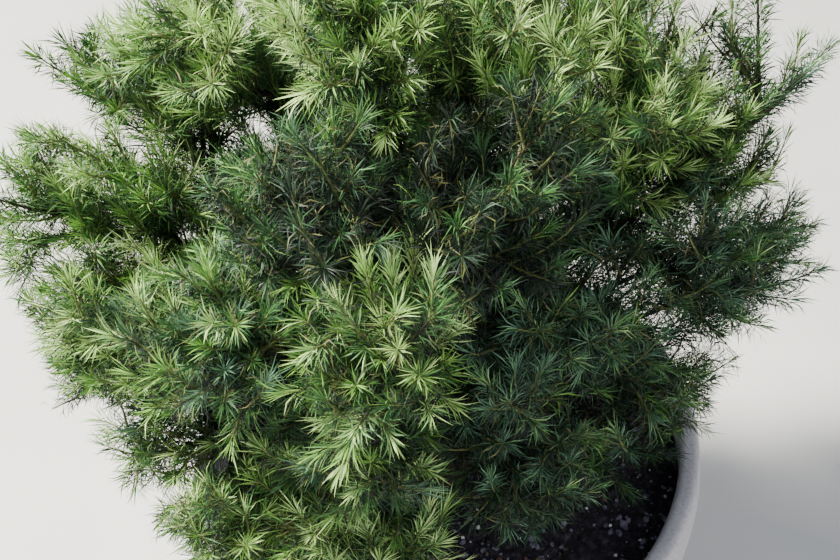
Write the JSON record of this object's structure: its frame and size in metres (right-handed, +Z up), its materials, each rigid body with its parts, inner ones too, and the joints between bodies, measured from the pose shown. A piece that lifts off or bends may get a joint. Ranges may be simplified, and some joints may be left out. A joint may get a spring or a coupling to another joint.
{
  "type": "potted conifer",
  "caption": "Bushy dwarf conifer with short-needled shoots on rising boughs, growing in soil in a round, smooth concrete pot with a thick rounded lip.",
  "frame": {"origin": "centre of the pot's flat underside", "axes": "+Z up along the pot's axis, +X to the viewer's right in the picture, -Y towards the viewer"},
  "size_m": [0.6123, 0.4772, 0.76],
  "materials": {
    "concrete": "matt, fine-pored, pale warm grey",
    "soil": "damp dark potting mix with pale perlite grains",
    "bark": "rough, scaly, pinkish brown",
    "needles": "satin needles, blue-green to yellow-green"
  },
  "bodies": {
    "root": {"bough_low_1": "bark", "bough_low_10": "bark", "bough_low_11": "bark", "bough_low_2": "bark", "bough_low_3": "bark", "bough_low_4": "bark", "bough_low_5": "bark", "bough_low_6": "bark", "bough_low_7": "bark", "bough_low_8": "bark", "bough_low_9": "bark", "bough_middle_1": "bark", "bough_middle_2": "bark", "bough_middle_3": "bark", "bough_middle_4": "bark", "bough_middle_5": "bark", "bough_middle_6": "bark", "bough_middle_7": "bark", "bough_upper_1": "bark", "bough_upper_2": "bark", "bough_upper_3": "bark", "bough_upper_4": "bark", "bough_upper_5": "bark", "bough_upper_6": "bark", "bough_upper_7": "bark", "foliage_inner_1": "needles", "foliage_inner_2": "needles", "foliage_inner_3": "needles", "foliage_inner_4": "needles", "foliage_leader": "needles", "foliage_low_1": "needles", "foliage_low_10": "needles", "foliage_low_11": "needles", "foliage_low_2": "needles", "foliage_low_3": "needles", "foliage_low_4": "needles", "foliage_low_5": "needles", "foliage_low_6": "needles", "foliage_low_7": "needles", "foliage_low_8": "needles", "foliage_low_9": "needles", "foliage_middle_1": "needles", "foliage_middle_2": "needles", "foliage_middle_3": "needles", "foliage_middle_4": "needles", "foliage_middle_5": "needles", "foliage_middle_6": "needles", "foliage_middle_7": "needles", "foliage_top_1": "needles", "foliage_top_2": "needles", "foliage_upper_1": "needles", "foliage_upper_2": "needles", "foliage_upper_3": "needles", "foliage_upper_4": "needles", "foliage_upper_5": "needles", "foliage_upper_6": "needles", "foliage_upper_7": "needles", "pot": "concrete", "soil": "soil", "trunk": "bark"}
  },
  "joints": []
}
